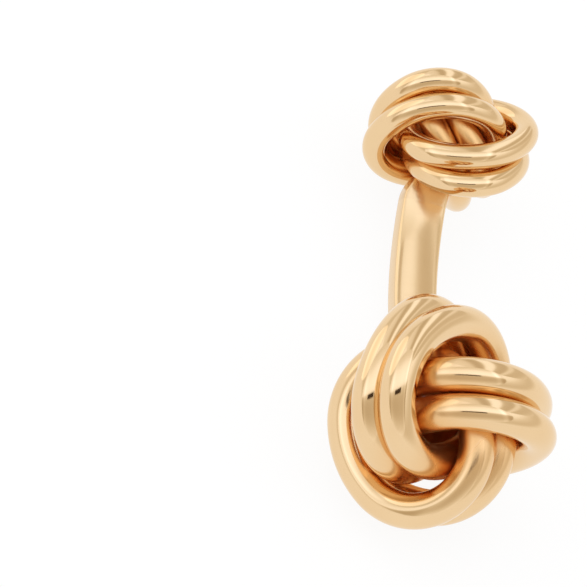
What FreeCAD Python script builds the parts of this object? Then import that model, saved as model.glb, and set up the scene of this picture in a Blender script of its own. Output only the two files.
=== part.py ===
# Double-knot cufflink: a large and a small knot of interlinked round-wire hoops, joined by a bowed bar.
# Millimetres and degrees. +Z is up, +X runs along the link to the large knot, and the link lies on Z = 0.
import FreeCAD, Part
import math
import os

V = FreeCAD.Vector
X_AXIS = V(1, 0, 0)
Y_AXIS = V(0, 1, 0)
Z_AXIS = V(0, 0, 1)

# Driving dimensions that both knots share: the gap between strands, and the hoop's oval as shares of its width
hoops_per_knot = 3
strand_gap = 0.02
oval_stretch = 1.178
hoop_offset_share = 0.415

# Large front knot: its wire, the tilt of its hoops, the turn and end rounding of their ovals, and its place
large_wire = 2.15
large_hoop_tilt = 45.9
large_oval_turn = 108.9
large_end_round = 0.96
large_knot_spin = 4.0

# Small back knot, tied a little flatter, which leans sideways and nods up on the end of the bar
small_wire = 1.575
small_hoop_tilt = 41.0
small_oval_turn = 125.0
small_end_round = 0.85
small_knot_spin = 80.5
small_knot_lean = 10.0
small_knot_nod = 7.0

# Bowed bar, and the soldered necks that carry it into the knots
bar_length = 13.4
bar_bow_radius = 13.9
bar_width = 2.76
bar_thickness = 1.6
bar_crown = 0.12
bar_edge_radius = 0.22
neck_clearance = 0.13
neck_least_length = 0.8

# Counts used to measure the hoops
points_per_arc = 36
halving_steps = 26


def turn_about(axis, degrees):
    return FreeCAD.Placement(V(0, 0, 0), FreeCAD.Rotation(axis, degrees))


def shift_by(x, y, z):
    return FreeCAD.Placement(V(x, y, z), FreeCAD.Rotation())


def halve(low, high, is_enough):
    # Smallest value between low and high that is enough, by repeated halving
    for _ in range(halving_steps):
        middle = 0.5 * (low + high)
        if is_enough(middle):
            high = middle
        else:
            low = middle
    return high


# The centre line of a strand of wire: a flat oval of four tangent arcs
class Oval:
    def __init__(self, half_width, end_round):
        end_radius = half_width * end_round
        end_x = half_width * oval_stretch - end_radius
        drop = (end_x ** 2 - (half_width - end_radius) ** 2) / (2 * (half_width - end_radius))
        side_radius = half_width + drop
        end_half_angle = math.atan2(drop, end_x)
        side_angle = math.pi - 2 * end_half_angle
        self.arcs = [
            (V(end_x, 0, 0), end_radius, -end_half_angle, 2 * end_half_angle),
            (V(0, -drop, 0), side_radius, end_half_angle, side_angle),
            (V(-end_x, 0, 0), end_radius, math.pi - end_half_angle, 2 * end_half_angle),
            (V(0, drop, 0), side_radius, math.pi + end_half_angle, side_angle),
        ]
        self.length = sum(radius * sweep for _, radius, _, sweep in self.arcs)

    def on_arc(self, centre, radius, angle):
        return centre + V(radius * math.cos(angle), radius * math.sin(angle), 0)

    def points(self):
        found = []
        for centre, radius, start, sweep in self.arcs:
            for step in range(points_per_arc):
                found.append(self.on_arc(centre, radius, start + sweep * step / points_per_arc))
        return found

    def strand(self, wire):
        # A round section revolved along each arc of the oval in turn
        pieces = []
        for centre, radius, start, sweep in self.arcs:
            tangent = V(-math.sin(start), math.cos(start), 0)
            circle = Part.makeCircle(wire / 2, self.on_arc(centre, radius, start), tangent)
            section = Part.Face(Part.Wire(circle))
            pieces.append(section.revolve(centre, Z_AXIS, math.degrees(sweep)))
        return pieces[0].multiFuse(pieces[1:]).removeSplitter().Solids[0]


# A knot: linked hoops patterned round its own Z axis, each hoop two strands of wire side by side
class Knot:
    def __init__(self, name, wire, hoop_tilt, oval_turn, end_round):
        self.name = name
        self.wire = wire
        self.hoop_tilt = hoop_tilt
        self.oval_turn = oval_turn
        self.end_round = end_round
        # The hoops are drawn up until neighbouring strands lie one gap apart
        self.half_width = halve(wire, 4 * wire, lambda width: self.least_gap(width) >= strand_gap)
        self.oval = Oval(self.half_width, end_round)
        self.points = [point for line in self.lines(self.half_width).values() for point in line]
        self.measure_throat()

    def places(self, half_width):
        # Each hoop is offset from the axis and tilted, and its strands are mirrored side by side
        found = {}
        for hoop in range(hoops_per_knot):
            plane = turn_about(Z_AXIS, hoop * 360.0 / hoops_per_knot)
            plane = plane * shift_by(half_width * hoop_offset_share, 0, 0) * turn_about(X_AXIS, self.hoop_tilt)
            for side_name, side in (("front", 1), ("back", -1)):
                beside = shift_by(0, 0, side * (self.wire + strand_gap) / 2)
                found[(hoop + 1, side_name)] = plane * beside * turn_about(Z_AXIS, -side * self.oval_turn)
        return found

    def lines(self, half_width):
        flat = Oval(half_width, self.end_round).points()
        places = self.places(half_width)
        return {key: [place.multVec(point) for point in flat] for key, place in places.items()}

    def least_gap(self, half_width):
        # Shortest way between the strands of the first two hoops; the pattern repeats it
        lines = self.lines(half_width)
        least = math.inf
        for side in ("front", "back"):
            for other_side in ("front", "back"):
                others = [(p.x, p.y, p.z) for p in lines[(2, other_side)]]
                for point in lines[(1, side)]:
                    x, y, z = point.x, point.y, point.z
                    nearest = min((x - a) ** 2 + (y - b) ** 2 + (z - c) ** 2 for a, b, c in others)
                    least = min(least, nearest)
        return math.sqrt(least) - self.wire

    def measure_throat(self):
        # The throat is where the strands come nearest to the axis; the bar ends where it clears them all
        reach = self.wire / 2 + neck_clearance
        inner = min(self.points, key=lambda p: math.hypot(p.x, p.y))
        self.throat_depth = abs(inner.z)
        self.throat_radius = math.hypot(inner.x, inner.y) - reach

        def bar_fits(depth):
            end = V(0, 0, -depth)
            room = min(point.distanceToPoint(end) for point in self.points) - reach
            return room >= bar_reach
        nearest = self.throat_depth + neck_least_length
        self.bar_depth = halve(nearest, nearest + bar_reach + 2 * self.wire, bar_fits)

    def place_on(self, bar_end, outward, spin):
        # The knot's axis points outward from the bar's end, and spin turns it about that axis
        self.outward = outward
        across = (Y_AXIS - outward * Y_AXIS.dot(outward)).normalize()
        level = FreeCAD.Rotation(across, outward.cross(across), outward, "ZXY")
        self.frame = FreeCAD.Placement(bar_end + outward * self.bar_depth, level) * turn_about(Z_AXIS, spin)


# The bar's section: flat sides, crowned broad faces and rounded edges, width along Y and thickness along Z
def bar_section(scale):
    half_width = scale * bar_width / 2
    half_thickness = scale * bar_thickness / 2
    crown = scale * bar_crown
    edge = scale * bar_edge_radius
    crown_radius = (half_width ** 2 + crown ** 2) / (2 * crown)
    crown_centre = half_thickness - crown_radius
    edge_y = half_width - edge
    edge_z = crown_centre + math.sqrt((crown_radius - edge) ** 2 - edge_y ** 2)
    lean = math.atan2(edge_z - crown_centre, edge_y)
    crown_y = crown_radius * math.cos(lean)
    crown_z = crown_centre + crown_radius * math.sin(lean)
    middle_y = edge_y + edge * math.cos(lean / 2)
    middle_z = edge_z + edge * math.sin(lean / 2)

    def arc(start, middle, end):
        return Part.Arc(V(0, *start), V(0, *middle), V(0, *end)).toShape()

    def line(start, end):
        return Part.LineSegment(V(0, *start), V(0, *end)).toShape()

    return Part.Wire([
        line((half_width, -edge_z), (half_width, edge_z)),
        arc((half_width, edge_z), (middle_y, middle_z), (crown_y, crown_z)),
        arc((crown_y, crown_z), (0, half_thickness), (-crown_y, crown_z)),
        arc((-crown_y, crown_z), (-middle_y, middle_z), (-half_width, edge_z)),
        line((-half_width, edge_z), (-half_width, -edge_z)),
        arc((-half_width, -edge_z), (-middle_y, -middle_z), (-crown_y, -crown_z)),
        arc((-crown_y, -crown_z), (0, -half_thickness), (crown_y, -crown_z)),
        arc((crown_y, -crown_z), (middle_y, -middle_z), (half_width, -edge_z)),
    ])


def section_at(place, scale):
    section = bar_section(scale)
    section.Placement = place
    return section


bar_reach = math.hypot(bar_width / 2, bar_thickness / 2)
bar_half_angle = math.degrees(bar_length / bar_bow_radius) / 2
bow_centre = V(0, 0, bar_bow_radius)


def bar_station(angle):
    # Frame on the bar's centre line, at an angle along the bow from its lowest point, with X along the bar
    swing = turn_about(Y_AXIS, -angle)
    return FreeCAD.Placement(bow_centre + swing.multVec(-bow_centre), swing.Rotation)


# The bar is its section revolved about the centre of the bow
small_end = bar_station(-bar_half_angle)
large_end = bar_station(bar_half_angle)
bar_start = Part.Face(section_at(small_end, 1.0))
bar = bar_start.revolve(bow_centre, -Y_AXIS, 2 * bar_half_angle)

# The large knot is square on its end of the bar, and the small knot sits askew on the other
large_knot = Knot("large_knot", large_wire, large_hoop_tilt, large_oval_turn, large_end_round)
small_knot = Knot("small_knot", small_wire, small_hoop_tilt, small_oval_turn, small_end_round)
large_outward = large_end.Rotation.multVec(X_AXIS)
nodded = turn_about(Y_AXIS, small_knot_nod).multVec(small_end.Rotation.multVec(-X_AXIS))
lean = math.radians(small_knot_lean)
small_outward = nodded * math.cos(lean) + Y_AXIS * math.sin(lean)
large_knot.place_on(large_end.Base, large_outward, large_knot_spin)
small_knot.place_on(small_end.Base, small_outward, small_knot_spin)


# A soldered neck carries the bar's section on into the throat of a knot, tapering to fit there
def neck_solid(knot, end):
    along = end.Rotation.multVec(X_AXIS)
    forward = knot.outward if knot.outward.dot(along) > 0 else -knot.outward
    across = (Y_AXIS - forward * Y_AXIS.dot(forward)).normalize()
    facing = FreeCAD.Rotation(forward, across, forward.cross(across), "XYZ")
    throat = knot.frame.multVec(V(0, 0, -knot.throat_depth))
    throat_scale = min(1.0, knot.throat_radius / bar_reach)
    bar_side = section_at(end, 1.0)
    throat_side = section_at(FreeCAD.Placement(throat, facing), throat_scale)
    return Part.makeLoft([bar_side, throat_side], True, True)


# The link lies on a table: it is pitched until both knots touch, then moved over the origin
def lowest(knot, pose):
    points = [pose.multVec(knot.frame.multVec(point)) for point in knot.points]
    low = min(points, key=lambda p: p.z)
    return V(low.x, low.y, low.z - knot.wire / 2)


pose = FreeCAD.Placement()
for _ in range(halving_steps):
    drop = lowest(large_knot, pose) - lowest(small_knot, pose)
    pose = turn_about(Y_AXIS, math.degrees(math.atan2(drop.z, drop.x))) * pose

low_corner = V(math.inf, math.inf, math.inf)
high_corner = V(-math.inf, -math.inf, -math.inf)
for knot in (large_knot, small_knot):
    wire_radius = V(knot.wire, knot.wire, knot.wire) / 2
    for point in knot.points:
        at = pose.multVec(knot.frame.multVec(point))
        low_corner = V(*map(min, low_corner, at - wire_radius))
        high_corner = V(*map(max, high_corner, at + wire_radius))
middle = (low_corner + high_corner) / 2
pose = shift_by(-middle.x, -middle.y, -low_corner.z) * pose

# One node for each piece of metal
nodes = {"bar": bar}
for knot, end in ((large_knot, large_end), (small_knot, small_end)):
    nodes[knot.name + "_neck"] = neck_solid(knot, end)
    strand = knot.oval.strand(knot.wire)
    for (hoop, side_name), place in knot.places(knot.half_width).items():
        copy = strand.copy()
        copy.Placement = knot.frame * place
        nodes["%s_hoop_%d_%s" % (knot.name, hoop, side_name)] = copy
    swept = math.pi * knot.wire ** 2 / 4 * knot.oval.length
    print(knot.name, "hoop half width %.3f, least gap between hoops %.3f, bar end %.3f from the middle"
          % (knot.half_width, knot.least_gap(knot.half_width), knot.bar_depth))
    print(knot.name, "strand volume %.3f, section times length %.3f" % (strand.Volume, swept))

os.makedirs("parts", exist_ok=True)
for name, shape in nodes.items():
    shape.Placement = pose * shape.Placement
    shape.exportStep("parts/%s.step" % name)
    print("%-26s valid %s, solids %d, volume %.3f" % (name, shape.isValid(), len(shape.Solids), shape.Volume))
print("size %.3f x %.3f x %.3f" % tuple(high_corner - low_corner))
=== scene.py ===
# %% [markdown]
# # A gold knot cufflink
# The cufflink is a large and a small knot on the two ends of a bowed bar. Each knot is three hoops, linked
# through each other, and each hoop is two rings of polished round wire lying side by side. This lesson
# models one ring for each knot, sets copies of it in place, models the bar and its soldered necks, and
# then gives the gold its finish and the scene its light.

# %% Load the frame and note its box
import bpy
import math
from mathutils import Matrix, Vector
from mathutils.geometry import interpolate_bezier


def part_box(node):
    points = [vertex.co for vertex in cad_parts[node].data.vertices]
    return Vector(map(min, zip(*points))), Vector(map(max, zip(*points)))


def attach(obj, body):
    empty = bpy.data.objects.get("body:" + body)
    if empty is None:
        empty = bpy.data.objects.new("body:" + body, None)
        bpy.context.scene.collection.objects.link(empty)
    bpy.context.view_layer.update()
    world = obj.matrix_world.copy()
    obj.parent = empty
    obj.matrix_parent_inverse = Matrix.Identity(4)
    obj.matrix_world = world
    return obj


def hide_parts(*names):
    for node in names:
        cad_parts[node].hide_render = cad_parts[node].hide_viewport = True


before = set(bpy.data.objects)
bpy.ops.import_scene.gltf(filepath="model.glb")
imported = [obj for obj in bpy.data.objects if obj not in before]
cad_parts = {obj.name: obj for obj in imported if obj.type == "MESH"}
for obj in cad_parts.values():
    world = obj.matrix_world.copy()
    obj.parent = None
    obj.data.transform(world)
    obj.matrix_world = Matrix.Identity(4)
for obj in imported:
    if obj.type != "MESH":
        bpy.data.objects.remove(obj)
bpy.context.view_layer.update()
print("CAD nodes:", len(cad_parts))

# %% [markdown]
# ## The camera
# The photograph looks down at the link from in front of the large knot, through a long lens, and the link
# lies aslant in the picture. A long lens makes near and far parts almost the same size, so the camera
# stands far back for so small a thing, and it is rolled on its own axis to give the slant. It comes first,
# because every later step is judged in its view.

# %% Place the camera
MM = 0.001
SENSOR_WIDTH_MM = 36.0
LENS_MM = 312.5
CAMERA_PLACE_MM = (180.31, -88.30, 234.73)
CAMERA_TURN_DEGREES = (35.551, -20.249, 91.819)

camera_data = bpy.data.cameras.new("photo_camera")
camera_data.lens = LENS_MM
camera_data.sensor_width = SENSOR_WIDTH_MM
camera = bpy.data.objects.new("photo_camera", camera_data)
bpy.context.scene.collection.objects.link(camera)
camera.location = Vector(CAMERA_PLACE_MM) * MM
camera.rotation_euler = [math.radians(angle) for angle in CAMERA_TURN_DEGREES]
bpy.context.scene.camera = camera
print("camera distance, mm: %.1f" % (camera.location.length / MM))

# %% [markdown]
# ## Small helpers
# Operators act on whatever is selected, so every step begins by deselecting all. Places are written as
# matrices: a turn about an axis in degrees, a shift, and products of these, read from right to left. A
# finished piece has its place in its mesh and its object at the origin.

# %% Helpers for selecting and placing
def deselect_all():
    bpy.ops.object.select_all(action="DESELECT")


def turn(axis, degrees):
    return Matrix.Rotation(math.radians(degrees), 4, axis)


def shift(x, y, z):
    return Matrix.Translation((x, y, z))


def only(piece):
    deselect_all()
    piece.select_set(True)
    bpy.context.view_layer.objects.active = piece


def settle(piece, place):
    # Moves a piece to its place and puts that place into its mesh
    only(piece)
    piece.matrix_world = place
    bpy.ops.object.transform_apply(location=True, rotation=True, scale=True)


# %% [markdown]
# ## Where the pieces go
# The bar is bent to an arc in an upright plane. Its lowest point is the start of all places. The large knot
# sits square on one end of the bar, and the small knot leans a little to the side and nods up on the other.
# At last the whole link is pitched a little, so that both knots rest on the table.

# %% Stations on the bar, and the two knots' frames
BAR_LENGTH = 13.4 * MM
BOW_RADIUS = 13.9 * MM
BAR_HALF_ANGLE = math.degrees(BAR_LENGTH / BOW_RADIUS) / 2
BOW_CENTRE = Vector((0, 0, BOW_RADIUS))
LINK_PITCH = -2.2892
LINK_SHIFT_MM = (-1.2652, -0.4098, 1.7315)
link_pose = shift(*(Vector(LINK_SHIFT_MM) * MM)) @ turn("Y", LINK_PITCH)


def bar_station(angle):
    # Frame on the bar's centre line with X along the bar
    return shift(*BOW_CENTRE) @ turn("Y", -angle) @ shift(*-BOW_CENTRE)


def axis_frame(outward, base):
    # Frame whose Z points outward and whose X lies as near to the table's Y as it can
    across = (Vector((0, 1, 0)) - outward * outward.y).normalized()
    turned = Matrix((across, outward.cross(across), outward)).transposed().to_4x4()
    return Matrix.Translation(base) @ turned


large_end = bar_station(BAR_HALF_ANGLE)
small_end = bar_station(-BAR_HALF_ANGLE)

LARGE_BAR_DEPTH = 5.5793 * MM
LARGE_SPIN = 4.0
large_outward = large_end.to_3x3() @ Vector((1, 0, 0))
large_base = large_end.translation + large_outward * LARGE_BAR_DEPTH
large_frame = axis_frame(large_outward, large_base) @ turn("Z", LARGE_SPIN)

SMALL_BAR_DEPTH = 4.3850 * MM
SMALL_SPIN = 80.5
SMALL_LEAN = 10.0
SMALL_NOD = 7.0
lean = math.radians(SMALL_LEAN)
nodded = turn("Y", SMALL_NOD).to_3x3() @ small_end.to_3x3() @ Vector((-1, 0, 0))
small_outward = nodded * math.cos(lean) + Vector((0, 1, 0)) * math.sin(lean)
small_base = small_end.translation + small_outward * SMALL_BAR_DEPTH
small_frame = axis_frame(small_outward, small_base) @ turn("Z", SMALL_SPIN)
print("bar bends through %.1f degrees" % (2 * BAR_HALF_ANGLE))

# %% [markdown]
# ## One ring of wire
# A ring is round wire bent to an oval, with its ends soldered so that no joint shows. The oval is four
# tangent arcs: two tighter ends and two flatter sides. A circle the size of the wire is set up at the
# start of the first arc, and Spin carries it round each arc in turn, as a bender would. Spin turns
# clockwise about its axis, so the axis points down. The last section meets the first, so the doubles are
# merged and the normals made to point outward.

# %% The four arcs of a ring
OVAL_STRETCH = 1.178


def oval_arcs(half_width, end_round):
    end_radius = half_width * end_round
    end_x = half_width * OVAL_STRETCH - end_radius
    drop = (end_x ** 2 - (half_width - end_radius) ** 2) / (2 * (half_width - end_radius))
    side_radius = half_width + drop
    end_angle = math.atan2(drop, end_x)
    side_sweep = math.pi - 2 * end_angle
    return [
        (Vector((end_x, 0, 0)), end_radius, -end_angle, 2 * end_angle),
        (Vector((0, -drop, 0)), side_radius, end_angle, side_sweep),
        (Vector((-end_x, 0, 0)), end_radius, math.pi - end_angle, 2 * end_angle),
        (Vector((0, drop, 0)), side_radius, math.pi + end_angle, side_sweep),
    ]


# %% Spin a wire section round the arcs
SECTION_POINTS = 48
STEPS_PER_TURN = 176
FEWEST_STEPS = 4
MERGE_DISTANCE = 0.002 * MM


def close_seams():
    # Ends an edit by merging the doubles and turning all faces outward
    bpy.ops.mesh.select_all(action="SELECT")
    bpy.ops.mesh.remove_doubles(threshold=MERGE_DISTANCE)
    bpy.ops.mesh.normals_make_consistent(inside=False)
    bpy.ops.object.mode_set(mode="OBJECT")


def model_ring(name, wire, half_width, end_round):
    deselect_all()
    arcs = oval_arcs(half_width, end_round)
    centre, radius, start, _ = arcs[0]
    first = centre + Vector((math.cos(start), math.sin(start), 0)) * radius
    bpy.ops.mesh.primitive_circle_add(vertices=SECTION_POINTS, radius=wire / 2, fill_type="NOTHING",
                                      location=first, rotation=(math.pi / 2, 0, start))
    ring = bpy.context.active_object
    ring.name = name
    bpy.ops.object.transform_apply(location=True, rotation=True, scale=True)
    bpy.ops.object.mode_set(mode="EDIT")
    bpy.ops.mesh.select_all(action="SELECT")
    for centre, radius, start, sweep in arcs:
        steps = max(FEWEST_STEPS, round(STEPS_PER_TURN * sweep / (2 * math.pi)))
        bpy.ops.mesh.spin(steps=steps, angle=sweep, center=centre, axis=(0, 0, -1))
    close_seams()
    bpy.ops.object.shade_smooth()
    print("%s has %d faces" % (name, len(ring.data.polygons)))
    return ring


# %% [markdown]
# ## The knots
# A knot takes six copies of its ring. Three hoops are patterned round the knot's own axis, each set off
# from it and tilted, so that each passes through the other two. The two rings of a hoop lie side by side,
# and their ovals are turned opposite ways, as mirror images. Each copy has a mesh of its own.

# %% Set six copies of a ring in place
STRAND_GAP = 0.02 * MM
HOOP_OFFSET_SHARE = 0.415
HOOPS = 3


def tie_knot(knot_name, knot_frame, wire, half_width, end_round, tilt, oval_turn):
    pattern = model_ring(knot_name + "_pattern_ring", wire, half_width, end_round)
    rings = []
    for hoop in range(HOOPS):
        round_axis = turn("Z", hoop * 360 / HOOPS)
        plane = round_axis @ shift(half_width * HOOP_OFFSET_SHARE, 0, 0) @ turn("X", tilt)
        for side_name, side in (("front", 1), ("back", -1)):
            beside = shift(0, 0, side * (wire + STRAND_GAP) / 2)
            only(pattern)
            bpy.ops.object.duplicate(linked=False)
            ring = bpy.context.active_object
            node = "%s_hoop_%d_%s" % (knot_name, hoop + 1, side_name)
            ring.name = node.replace("hoop", "wire")
            settle(ring, link_pose @ knot_frame @ plane @ beside @ turn("Z", -side * oval_turn))
            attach(ring, "root")
            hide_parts(node)
            rings.append((ring, node))
    bpy.data.objects.remove(pattern)
    return rings


# %% Tie both knots and compare them with the CAD
large_rings = tie_knot("large_knot", large_frame, wire=2.15 * MM, half_width=4.0019 * MM,
                       end_round=0.96, tilt=45.9, oval_turn=108.9)
small_rings = tie_knot("small_knot", small_frame, wire=1.575 * MM, half_width=3.1086 * MM,
                       end_round=0.85, tilt=41.0, oval_turn=125.0)


def corners(piece):
    points = [vertex.co for vertex in piece.data.vertices]
    low = Vector([min(point[axis] for point in points) for axis in range(3)])
    high = Vector([max(point[axis] for point in points) for axis in range(3)])
    return low, high


def farthest_corner(piece, node):
    low, high = corners(piece)
    cad_low, cad_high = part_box(node)
    return max((low - cad_low).length, (high - cad_high).length) / MM


for ring, node in large_rings + small_rings:
    print("%-24s %d faces, corners within %.3f mm of the CAD" %
          (ring.name, len(ring.data.polygons), farthest_corner(ring, node)))

# %% [markdown]
# ## The bar
# The bar is a strip with slightly crowned broad faces and softened edges, bent the easy way. Its section
# starts as a plane across the small end. Bevel rounds the four corners, Subdivide gives the broad edges
# points enough to be lifted into a crown, and Spin sweeps the section about the centre of the bow. The
# section is edited in edge mode, because in vertex mode the edges chosen in code would not stay chosen.

# %% The bar's section
BAR_WIDTH = 2.76 * MM
BAR_THICKNESS = 1.6 * MM
BAR_CROWN = 0.12 * MM
BAR_EDGE = 0.22 * MM
EDGE_SEGMENTS = 5
CROWN_CUTS = 11
BAR_STEPS = 64


def model_section(name, width, thickness):
    # A plane across X, with rounded corners and crowned long edges
    deselect_all()
    bpy.ops.mesh.primitive_plane_add(size=1, rotation=(0, math.pi / 2, 0))
    section = bpy.context.active_object
    section.name = name
    bpy.ops.object.transform_apply(location=True, rotation=True, scale=True)
    section.scale = (1, width, thickness - 2 * BAR_CROWN)
    bpy.ops.object.transform_apply(location=True, rotation=True, scale=True)
    bpy.ops.object.mode_set(mode="EDIT")
    bpy.ops.mesh.select_mode(type="EDGE")
    bpy.ops.mesh.select_all(action="SELECT")
    bpy.ops.mesh.bevel(offset=BAR_EDGE, segments=EDGE_SEGMENTS, affect="VERTICES")
    bpy.ops.mesh.select_all(action="DESELECT")
    bpy.ops.object.mode_set(mode="OBJECT")
    for edge in section.data.edges:
        ends = [section.data.vertices[index].co for index in edge.vertices]
        edge.select = abs(ends[0].y - ends[1].y) > width / 2
    bpy.ops.object.mode_set(mode="EDIT")
    bpy.ops.mesh.subdivide(number_cuts=CROWN_CUTS)
    bpy.ops.object.mode_set(mode="OBJECT")
    for vertex in section.data.vertices:
        lift = BAR_CROWN * (1 - (2 * vertex.co.y / width) ** 2)
        vertex.co.z += math.copysign(lift, vertex.co.z)
    print("%s starts from a section of %d points" % (name, len(section.data.vertices)))
    return section


# %% Spin the section along the bow
SHARP_ANGLE = math.radians(40)

bar = model_section("bowed_bar", BAR_WIDTH, BAR_THICKNESS)
settle(bar, small_end)
bpy.ops.object.mode_set(mode="EDIT")
bpy.ops.mesh.select_all(action="SELECT")
bpy.ops.mesh.spin(steps=BAR_STEPS, angle=math.radians(2 * BAR_HALF_ANGLE),
                  center=BOW_CENTRE, axis=(0, 1, 0))
close_seams()
bpy.ops.object.shade_smooth_by_angle(angle=SHARP_ANGLE)
settle(bar, link_pose)
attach(bar, "root")
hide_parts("bar")
print("%s %d faces, corners within %.3f mm of the CAD" %
      (bar.name, len(bar.data.polygons), farthest_corner(bar, "bar")))

# %% [markdown]
# ## The soldered necks
# Where the bar goes into a knot, solder has drawn it down to fit the knot's throat. A neck starts as the
# bar's own section at the bar's end. Its face is extruded toward the throat in short steps, on a curve
# that leaves along the bar and arrives along the knot's axis. The first steps keep nearly the bar's size
# and the last ones shrink fast, which gives the full shoulder that solder takes.

# %% Extrude the two necks
NECK_STEPS = 12
NECK_SHOULDER = 3
HANDLE_SHARE = 1 / 3
SECTION_REACH = math.hypot(BAR_WIDTH / 2, BAR_THICKNESS / 2)


def model_neck(knot_name, knot_frame, end, throat_depth, throat_radius):
    neck = model_section(knot_name + "_solder", BAR_WIDTH, BAR_THICKNESS)
    settle(neck, end)
    throat = knot_frame @ Vector((0, 0, -throat_depth))
    throat_size = throat_radius / SECTION_REACH
    start = end.translation
    along_bar = end.to_3x3() @ Vector((1, 0, 0))
    along_bar *= math.copysign((throat - start).length * HANDLE_SHARE, along_bar.dot(throat - start))
    along_axis = throat.lerp(start, HANDLE_SHARE)
    path = interpolate_bezier(start, start + along_bar, along_axis, throat, NECK_STEPS + 1)
    last_size = 1.0
    bpy.ops.object.mode_set(mode="EDIT")
    bpy.ops.mesh.select_all(action="SELECT")
    for step in range(1, NECK_STEPS + 1):
        share = step / NECK_STEPS
        size = throat_size + (1.0 - throat_size) * (1.0 - share ** NECK_SHOULDER)
        bpy.ops.mesh.extrude_region_move(TRANSFORM_OT_translate={"value": path[step] - path[step - 1]})
        bpy.ops.transform.resize(value=(size / last_size,) * 3, center_override=path[step])
        last_size = size
    close_seams()
    bpy.ops.object.shade_smooth_by_angle(angle=SHARP_ANGLE)
    settle(neck, link_pose)
    node = knot_name + "_neck"
    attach(neck, "root")
    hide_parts(node)
    print("%s %d faces, corners within %.3f mm of the CAD" %
          (neck.name, len(neck.data.polygons), farthest_corner(neck, node)))
    return neck


large_neck = model_neck("large_knot", large_frame, large_end,
                        throat_depth=2.894 * MM, throat_radius=0.592 * MM)
small_neck = model_neck("small_knot", small_frame, small_end,
                        throat_depth=2.062 * MM, throat_radius=0.546 * MM)

# %% [markdown]
# ## The gold
# Polished gold is a bare metal: its colour is the colour of what it reflects, warmed by the metal. The
# base colour is that of the metal facing the eye, and the orange between the wires comes mostly from light
# that bounces from gold to gold; deep in the knots a painted red-brown shade adds to it. A shared group
# adds
# what handling leaves: a faint waviness from polishing, and hairlines that vary the gloss.

# %% A shared group for polish and handling marks
WAVE_DETAIL = 1.0
HAIRLINE_DETAIL = 3.0
HAIRLINE_TURN = (0.5, 0.3, 0.8)
HAIRLINE_STRETCH = (1.0, 0.12, 0.12)


def add_sockets(group, in_out, kind, names):
    for name in names:
        group.interface.new_socket(name, in_out=in_out, socket_type="NodeSocket" + kind)


def polish_group():
    group = bpy.data.node_groups.new("polish_and_handling", "ShaderNodeTree")
    add_sockets(group, "INPUT", "Float", ("Wave Scale", "Hairline Scale"))
    add_sockets(group, "INPUT", "Float", ("Base Roughness", "Roughness Spread"))
    add_sockets(group, "INPUT", "Color", ("Bright Gold", "Deep Gold"))
    add_sockets(group, "OUTPUT", "Color", ("Color",))
    add_sockets(group, "OUTPUT", "Float", ("Roughness", "Height"))
    nodes = group.nodes
    links = group.links
    values = nodes.new("NodeGroupInput")
    results = nodes.new("NodeGroupOutput")
    place = nodes.new("ShaderNodeTexCoord")
    waves = nodes.new("ShaderNodeTexNoise")
    waves.inputs["Detail"].default_value = WAVE_DETAIL
    links.new(place.outputs["Object"], waves.inputs["Vector"])
    links.new(values.outputs["Wave Scale"], waves.inputs["Scale"])
    stretched = nodes.new("ShaderNodeMapping")
    stretched.inputs["Rotation"].default_value = HAIRLINE_TURN
    stretched.inputs["Scale"].default_value = HAIRLINE_STRETCH
    links.new(place.outputs["Object"], stretched.inputs["Vector"])
    hairlines = nodes.new("ShaderNodeTexNoise")
    hairlines.inputs["Detail"].default_value = HAIRLINE_DETAIL
    links.new(stretched.outputs["Vector"], hairlines.inputs["Vector"])
    links.new(values.outputs["Hairline Scale"], hairlines.inputs["Scale"])
    rough = nodes.new("ShaderNodeMath")
    rough.operation = "MULTIPLY_ADD"
    links.new(hairlines.outputs["Fac"], rough.inputs[0])
    links.new(values.outputs["Roughness Spread"], rough.inputs[1])
    links.new(values.outputs["Base Roughness"], rough.inputs[2])
    links.new(rough.outputs["Value"], results.inputs["Roughness"])
    tint = nodes.new("ShaderNodeMix")
    tint.data_type = "RGBA"
    links.new(waves.outputs["Fac"], tint.inputs["Factor"])
    links.new(values.outputs["Bright Gold"], tint.inputs["A"])
    links.new(values.outputs["Deep Gold"], tint.inputs["B"])
    links.new(tint.outputs["Result"], results.inputs["Color"])
    links.new(waves.outputs["Fac"], results.inputs["Height"])
    return group


polish = polish_group()
print("group inputs:", [item.name for item in polish.interface.items_tree if item.in_out == "INPUT"])
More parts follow.
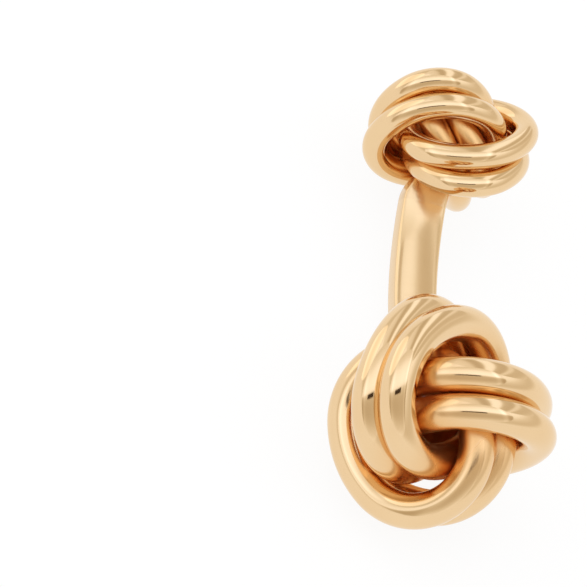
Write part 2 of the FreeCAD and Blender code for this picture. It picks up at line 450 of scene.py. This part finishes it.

# %% [markdown]
# ## Gold in the recesses
# A polishing wheel can't reach into a knot, so the gold deep inside is left duller. It is also given a
# painted red-brown shade there, which stands in for the shade that falls between the wires. How deep a spot
# lies is its distance from the middle of its knot. A second group turns that distance into a mask, and uses
# it to paint that shade into the polished gold that it is given, and to roughen it.


# %% A shared group for the recesses' duller gloss and painted shade
def recess_group():
    # Paints a redder, darker shade into the colour towards the knot's middle, and dulls the gloss there
    group = bpy.data.node_groups.new("dull_and_painted_shade_recesses", "ShaderNodeTree")
    add_sockets(group, "INPUT", "Color", ("Color", "Painted Shade"))
    add_sockets(group, "INPUT", "Vector", ("Knot Middle",))
    add_sockets(group, "INPUT", "Float", ("Roughness", "Clean Radius", "Deep Radius", "Dull Roughness"))
    add_sockets(group, "OUTPUT", "Color", ("Color",))
    add_sockets(group, "OUTPUT", "Float", ("Roughness",))
    nodes = group.nodes
    links = group.links
    values = nodes.new("NodeGroupInput")
    results = nodes.new("NodeGroupOutput")
    place = nodes.new("ShaderNodeTexCoord")
    apart = nodes.new("ShaderNodeVectorMath")
    apart.operation = "DISTANCE"
    links.new(place.outputs["Object"], apart.inputs[0])
    links.new(values.outputs["Knot Middle"], apart.inputs[1])
    deep = nodes.new("ShaderNodeMapRange")
    deep.interpolation_type = "SMOOTHSTEP"
    deep.inputs["To Min"].default_value = 1.0
    deep.inputs["To Max"].default_value = 0.0
    links.new(apart.outputs["Value"], deep.inputs["Value"])
    links.new(values.outputs["Deep Radius"], deep.inputs["From Min"])
    links.new(values.outputs["Clean Radius"], deep.inputs["From Max"])
    # The painted shade: the gold is mixed toward the shade colour where the mask is high
    tint = nodes.new("ShaderNodeMix")
    tint.data_type = "RGBA"
    links.new(deep.outputs["Result"], tint.inputs["Factor"])
    links.new(values.outputs["Color"], tint.inputs["A"])
    links.new(values.outputs["Painted Shade"], tint.inputs["B"])
    links.new(tint.outputs["Result"], results.inputs["Color"])
    dull = nodes.new("ShaderNodeMix")
    links.new(deep.outputs["Result"], dull.inputs["Factor"])
    links.new(values.outputs["Roughness"], dull.inputs["A"])
    links.new(values.outputs["Dull Roughness"], dull.inputs["B"])
    links.new(dull.outputs["Result"], results.inputs["Roughness"])
    return group


recesses = recess_group()
print("recess group nodes:", len(recesses.nodes))

# %% Gold finishes from the two groups
HAIRLINE_SCALE = 9000.0
BUMP_DEPTH = 0.05 * MM
DULL_ROUGHNESS = 0.34


def gold_finish(name, bright, deep, base_roughness, roughness_spread, bump_strength, wave_scale, knot=None):
    finish = bpy.data.materials.new(name)
    finish.use_nodes = True
    nodes = finish.node_tree.nodes
    links = finish.node_tree.links
    metal = nodes["Principled BSDF"]
    metal.inputs["Metallic"].default_value = 1.0
    marks = nodes.new("ShaderNodeGroup")
    marks.node_tree = polish
    marks.inputs["Wave Scale"].default_value = wave_scale
    marks.inputs["Hairline Scale"].default_value = HAIRLINE_SCALE
    marks.inputs["Base Roughness"].default_value = base_roughness
    marks.inputs["Roughness Spread"].default_value = roughness_spread
    marks.inputs["Bright Gold"].default_value = (*bright, 1.0)
    marks.inputs["Deep Gold"].default_value = (*deep, 1.0)
    surface = marks
    # knot carries the knot's middle, the two radii and the colour of its painted recess shade
    if knot:
        middle, outer_radius, deep_radius, painted_shade = knot
        surface = nodes.new("ShaderNodeGroup")
        surface.node_tree = recesses
        surface.inputs["Knot Middle"].default_value = middle
        surface.inputs["Clean Radius"].default_value = outer_radius
        surface.inputs["Deep Radius"].default_value = deep_radius
        surface.inputs["Painted Shade"].default_value = (*painted_shade, 1.0)
        surface.inputs["Dull Roughness"].default_value = DULL_ROUGHNESS
        links.new(marks.outputs["Color"], surface.inputs["Color"])
        links.new(marks.outputs["Roughness"], surface.inputs["Roughness"])
    bump = nodes.new("ShaderNodeBump")
    bump.inputs["Strength"].default_value = bump_strength
    bump.inputs["Distance"].default_value = BUMP_DEPTH
    links.new(surface.outputs["Color"], metal.inputs["Base Color"])
    links.new(surface.outputs["Roughness"], metal.inputs["Roughness"])
    links.new(marks.outputs["Height"], bump.inputs["Height"])
    links.new(bump.outputs["Normal"], metal.inputs["Normal"])
    return finish


# %% Dress the pieces
WIRE_BRIGHT, WIRE_DEEP = (0.86, 0.63, 0.37), (0.82, 0.58, 0.325)
SOLDER_BRIGHT, SOLDER_DEEP = (0.83, 0.60, 0.35), (0.77, 0.53, 0.295)
# Red-brown painted shade for each knot's recesses, which stands in for the shade between the wires
LARGE_PAINTED_SHADE, SMALL_PAINTED_SHADE = (0.84, 0.485, 0.20), (0.85, 0.51, 0.215)
LARGE_OUTER, LARGE_DEEP = 6.1 * MM, 3.6 * MM
SMALL_OUTER, SMALL_DEEP = 4.4 * MM, 2.6 * MM
large_depth = ((link_pose @ large_frame).translation, LARGE_OUTER, LARGE_DEEP, LARGE_PAINTED_SHADE)
small_depth = ((link_pose @ small_frame).translation, SMALL_OUTER, SMALL_DEEP, SMALL_PAINTED_SHADE)

WIRE_POLISH = {"bright": WIRE_BRIGHT, "deep": WIRE_DEEP, "base_roughness": 0.06, "roughness_spread": 0.05,
               "bump_strength": 0.2}
BAR_POLISH = {"bright": WIRE_BRIGHT, "deep": WIRE_DEEP, "base_roughness": 0.13, "roughness_spread": 0.08,
              "bump_strength": 0.15}
SOLDER_POLISH = {"bright": SOLDER_BRIGHT, "deep": SOLDER_DEEP, "base_roughness": 0.15,
                 "roughness_spread": 0.1, "bump_strength": 0.3}
LARGE_WAVES, SMALL_WAVES, SOLDER_WAVES = 420.0, 560.0, 1600.0

large_wire_gold = gold_finish("large_wire_gold", **WIRE_POLISH, wave_scale=LARGE_WAVES, knot=large_depth)
small_wire_gold = gold_finish("small_wire_gold", **WIRE_POLISH, wave_scale=SMALL_WAVES, knot=small_depth)
bar_gold = gold_finish("bar_gold", **BAR_POLISH, wave_scale=LARGE_WAVES)
large_solder = gold_finish("large_solder", **SOLDER_POLISH, wave_scale=SOLDER_WAVES, knot=large_depth)
small_solder = gold_finish("small_solder", **SOLDER_POLISH, wave_scale=SOLDER_WAVES, knot=small_depth)


def dress(piece, finish):
    piece.data.materials.clear()
    piece.data.materials.append(finish)


for ring, _ in large_rings:
    dress(ring, large_wire_gold)
for ring, _ in small_rings:
    dress(ring, small_wire_gold)
dress(bar, bar_gold)
dress(large_neck, large_solder)
dress(small_neck, small_solder)
for finish in (large_wire_gold, small_wire_gold, bar_gold, large_solder, small_solder):
    print("%s is on %d pieces" % (finish.name, finish.users))

# %% [markdown]
# ## The studio
# Small polished things are photographed in a white tent, because they mirror all that is round them. The
# floor is white here, and its own shading is mixed in, so that the link keeps its shadow. The tent round
# it is white at the floor, a little shaded at its sides, and brightest overhead. Its cloth is warmer where
# it is dim, which makes the deeper bands on the gold redder than the bright ones.

# %% White floor
FLOOR_SIZE = 4.0
deselect_all()
bpy.ops.mesh.primitive_plane_add(size=FLOOR_SIZE, location=(0, 0, 0))
floor = bpy.context.active_object
floor.name = "white_floor"
print("floor is %.0f m across" % FLOOR_SIZE)


# %% The floor's white, with its shadow
def seen_as_backdrop(nodes, links):
    # One for rays that come from the camera or from metal and glass, and zero for the rest
    path = nodes.new("ShaderNodeLightPath")
    first = nodes.new("ShaderNodeMath")
    first.operation = "MAXIMUM"
    links.new(path.outputs["Is Camera Ray"], first.inputs[0])
    links.new(path.outputs["Is Glossy Ray"], first.inputs[1])
    second = nodes.new("ShaderNodeMath")
    second.operation = "MAXIMUM"
    links.new(first.outputs["Value"], second.inputs[0])
    links.new(path.outputs["Is Transmission Ray"], second.inputs[1])
    return second.outputs["Value"]


SHADOW_SHARE = 0.13
FLOOR_GLOW = 1.025
PAPER_WHITE = (0.95, 0.95, 0.95, 1.0)
floor_white = bpy.data.materials.new("white_floor")
floor_white.use_nodes = True
nodes = floor_white.node_tree.nodes
links = floor_white.node_tree.links
paper = nodes["Principled BSDF"]
paper.inputs["Base Color"].default_value = PAPER_WHITE
paper.inputs["Roughness"].default_value = 1.0
paper.inputs["Specular IOR Level"].default_value = 0.0
glow = nodes.new("ShaderNodeEmission")
glow.inputs["Strength"].default_value = FLOOR_GLOW
share = nodes.new("ShaderNodeMath")
share.operation = "MULTIPLY"
share.inputs[1].default_value = 1.0 - SHADOW_SHARE
links.new(seen_as_backdrop(nodes, links), share.inputs[0])
blend = nodes.new("ShaderNodeMixShader")
links.new(share.outputs["Value"], blend.inputs["Fac"])
links.new(paper.outputs["BSDF"], blend.inputs[1])
links.new(glow.outputs["Emission"], blend.inputs[2])
links.new(blend.outputs["Shader"], nodes["Material Output"].inputs["Surface"])
floor.data.materials.append(floor_white)
print("share of the floor's own shading that shows: %.2f" % SHADOW_SHARE)


# %% Runs of tone that are warmer where they are dim
def tone_run(nodes, links, value, spots):
    # A smooth run of tones over a value that goes from zero to one
    run = nodes.new("ShaderNodeFloatCurve")
    curve = run.mapping.curves[0]
    highest = max(tone for _, tone in spots)
    for point, (spot, tone) in zip(curve.points, (spots[0], spots[-1])):
        point.location = (spot, tone / highest)
    for spot, tone in spots[1:-1]:
        curve.points.new(spot, tone / highest)
    run.mapping.update()
    links.new(value, run.inputs["Value"])
    scaled = nodes.new("ShaderNodeMath")
    scaled.operation = "MULTIPLY"
    scaled.inputs[1].default_value = highest
    links.new(run.outputs["Value"], scaled.inputs[0])
    return scaled.outputs["Value"]


GREEN_POWER = 1.25
BLUE_POWER = 1.7


def warm_when_dim(nodes, links, tone):
    # White at a tone of one, warmer below it and cooler above it
    colour = nodes.new("ShaderNodeCombineColor")
    links.new(tone, colour.inputs["Red"])
    for channel, power in (("Green", GREEN_POWER), ("Blue", BLUE_POWER)):
        raised = nodes.new("ShaderNodeMath")
        raised.operation = "POWER"
        raised.inputs[1].default_value = power
        links.new(tone, raised.inputs[0])
        links.new(raised.outputs["Value"], colour.inputs[channel])
    return colour.outputs["Color"]


# %% The tent overhead
TENT_RISE = [(0.00, 1.00), (0.08, 1.00), (0.30, 0.80), (0.52, 0.88), (0.80, 1.16), (1.00, 1.16)]
world = bpy.data.worlds.new("white_tent")
bpy.context.scene.world = world
world.use_nodes = True
nodes = world.node_tree.nodes
links = world.node_tree.links
sky = nodes["Background"]
sky.inputs["Strength"].default_value = 1.0
toward = nodes.new("ShaderNodeTexCoord")
rise = nodes.new("ShaderNodeSeparateXYZ")
links.new(toward.outputs["Generated"], rise.inputs["Vector"])
tent_tone = tone_run(nodes, links, rise.outputs["Z"], TENT_RISE)
links.new(warm_when_dim(nodes, links, tent_tone), sky.inputs["Color"])
print("tent tones from the floor up:", [tone for _, tone in TENT_RISE])

# %% [markdown]
# ## The tent's walls
# A white tent alone makes gold look flat. The camera looks in through a slit at the front: the slit is
# dark, the cloth above it glows with the lamp behind it, and the cloth below it is in shade. Gold that
# faces the camera mirrors that wall, which gives the bright patches, the deeper bands below them, and the
# thin dark marks between. The top of the bar mirrors the back wall, where the cloth hangs in broad folds.
# Each wall is a large disc that shines in tones, farther from the link than the camera is.

# %% Cloth that shines in tones
WALL_RADIUS = 0.55
WALL_POINTS = 96


class ToneCloth:
    # A shining material whose tone is worked out from the place on the wall
    def __init__(self, name):
        self.material = bpy.data.materials.new(name)
        self.material.use_nodes = True
        self.nodes = self.material.node_tree.nodes
        self.links = self.material.node_tree.links
        self.nodes.remove(self.nodes["Principled BSDF"])
        place = self.nodes.new("ShaderNodeTexCoord")
        self.parts = self.nodes.new("ShaderNodeSeparateXYZ")
        self.links.new(place.outputs["Object"], self.parts.inputs["Vector"])

    def joined(self, operation, first, second=0.0):
        step = self.nodes.new("ShaderNodeMath")
        step.operation = operation
        for socket, value in zip(step.inputs, (first, second)):
            if isinstance(value, float):
                socket.default_value = value
            else:
                self.links.new(value, socket)
        return step.outputs["Value"]

    def across(self, axis, spots):
        # A smooth run of tones from one edge of the wall to the other
        span = self.nodes.new("ShaderNodeMapRange")
        span.inputs["From Min"].default_value = -WALL_RADIUS
        span.inputs["From Max"].default_value = WALL_RADIUS
        self.links.new(self.parts.outputs[axis], span.inputs["Value"])
        return tone_run(self.nodes, self.links, span.outputs["Result"], spots)

    def near_middle(self, axis, half_size, edge):
        # One within half_size of the wall's middle, zero beyond it, with a soft edge
        step = self.nodes.new("ShaderNodeMapRange")
        step.interpolation_type = "SMOOTHSTEP"
        step.inputs["From Min"].default_value = half_size - edge
        step.inputs["From Max"].default_value = half_size + edge
        step.inputs["To Min"].default_value = 1.0
        step.inputs["To Max"].default_value = 0.0
        self.links.new(self.joined("ABSOLUTE", self.parts.outputs[axis]), step.inputs["Value"])
        return step.outputs["Result"]

    def shine(self, tone):
        glow = self.nodes.new("ShaderNodeEmission")
        glow.inputs["Strength"].default_value = 1.0
        self.links.new(warm_when_dim(self.nodes, self.links, tone), glow.inputs["Color"])
        self.links.new(glow.outputs["Emission"], self.nodes["Material Output"].inputs["Surface"])
        return self.material


def hang_wall(name, place, cloth):
    deselect_all()
    bpy.ops.mesh.primitive_circle_add(vertices=WALL_POINTS, radius=WALL_RADIUS, fill_type="NGON")
    wall = bpy.context.active_object
    wall.name = name
    wall.matrix_world = place
    wall.data.materials.append(cloth)


# %% The front wall, with the slit
FRONT_DISTANCE = 0.45
FRONT_RISE = [(0.00, 1.10), (0.16, 0.88), (0.40, 0.68), (0.50, 0.84), (0.56, 1.30), (0.68, 1.26),
              (0.82, 1.02), (1.00, 0.90)]
FRONT_PANELS = [(0.00, 1.00), (0.10, 0.86), (0.20, 1.06), (0.35, 0.98), (0.62, 1.00), (0.78, 1.02),
                (0.84, 1.16), (0.92, 0.86), (1.00, 0.95)]
SLIT_HALF_LENGTH = 0.135
SLIT_HALF_HEIGHT = 0.022
SLIT_EDGE = 0.005
SLIT_TONE = 0.03

camera_axes = camera.rotation_euler.to_matrix()
front_cloth = ToneCloth("front_cloth")
front_lit = front_cloth.joined("MULTIPLY", front_cloth.across("Y", FRONT_RISE),
                               front_cloth.across("X", FRONT_PANELS))
in_slit = front_cloth.joined("MULTIPLY", front_cloth.near_middle("X", SLIT_HALF_LENGTH, SLIT_EDGE),
                             front_cloth.near_middle("Y", SLIT_HALF_HEIGHT, SLIT_EDGE))
shut_out = front_cloth.joined("SUBTRACT", 1.0, front_cloth.joined("MULTIPLY", in_slit, 1.0 - SLIT_TONE))
front_shine = front_cloth.shine(front_cloth.joined("MULTIPLY", front_lit, shut_out))
front_place = Matrix.Translation(camera.location.normalized() * FRONT_DISTANCE) @ camera_axes.to_4x4()
hang_wall("tent_front", front_place, front_shine)
print("front wall %.2f m across, with a slit %.2f m long" % (2 * WALL_RADIUS, 2 * SLIT_HALF_LENGTH))

# %% The back wall, with its folds
BACK_DISTANCE = 0.62
BACK_FOLDS = [(0.00, 1.00), (0.20, 0.92), (0.30, 0.66), (0.36, 0.74), (0.42, 1.22), (0.48, 1.20),
              (0.54, 0.74), (0.62, 0.70), (0.68, 0.98), (0.75, 0.76), (1.00, 0.92)]
BACK_TOWARD = (-0.59, 0.25, 0.77)
back_toward = Vector(BACK_TOWARD).normalized()
back_cloth = ToneCloth("back_cloth")
back_shine = back_cloth.shine(back_cloth.across("X", BACK_FOLDS))
hang_wall("tent_back", axis_frame(back_toward, back_toward * BACK_DISTANCE), back_shine)
print("back wall hangs %.2f m away" % BACK_DISTANCE)

# %% [markdown]
# ## A lamp over the tent
# One broad lamp above and to the left of the picture gives the link a soft shadow on the floor.

# %% The lamp
LAMP_SIZE = 0.45
LAMP_POWER = 0.2
LAMP_PLACE = (-0.30, 0.35, 0.10)
lamp_data = bpy.data.lights.new("top_soft_box", "AREA")
lamp_data.shape = "DISK"
lamp_data.size = LAMP_SIZE
lamp_data.energy = LAMP_POWER
lamp = bpy.data.objects.new("top_soft_box", lamp_data)
bpy.context.scene.collection.objects.link(lamp)
lamp.location = camera_axes @ Vector(LAMP_PLACE)
lamp.rotation_euler = lamp.location.to_track_quat("Z", "Y").to_euler()
print("lamp at", [round(value, 3) for value in lamp.location])

# %% [markdown]
# ## Finish
# Colours are shown as they are written. Light may bounce many times between the strands, because few
# bounces would leave the deep parts of a knot black.

# %% View settings and the end
MOST_BOUNCES = 24
bpy.context.scene.view_settings.view_transform = "Standard"
bpy.context.scene.cycles.max_bounces = MOST_BOUNCES
bpy.context.scene.cycles.glossy_bounces = MOST_BOUNCES
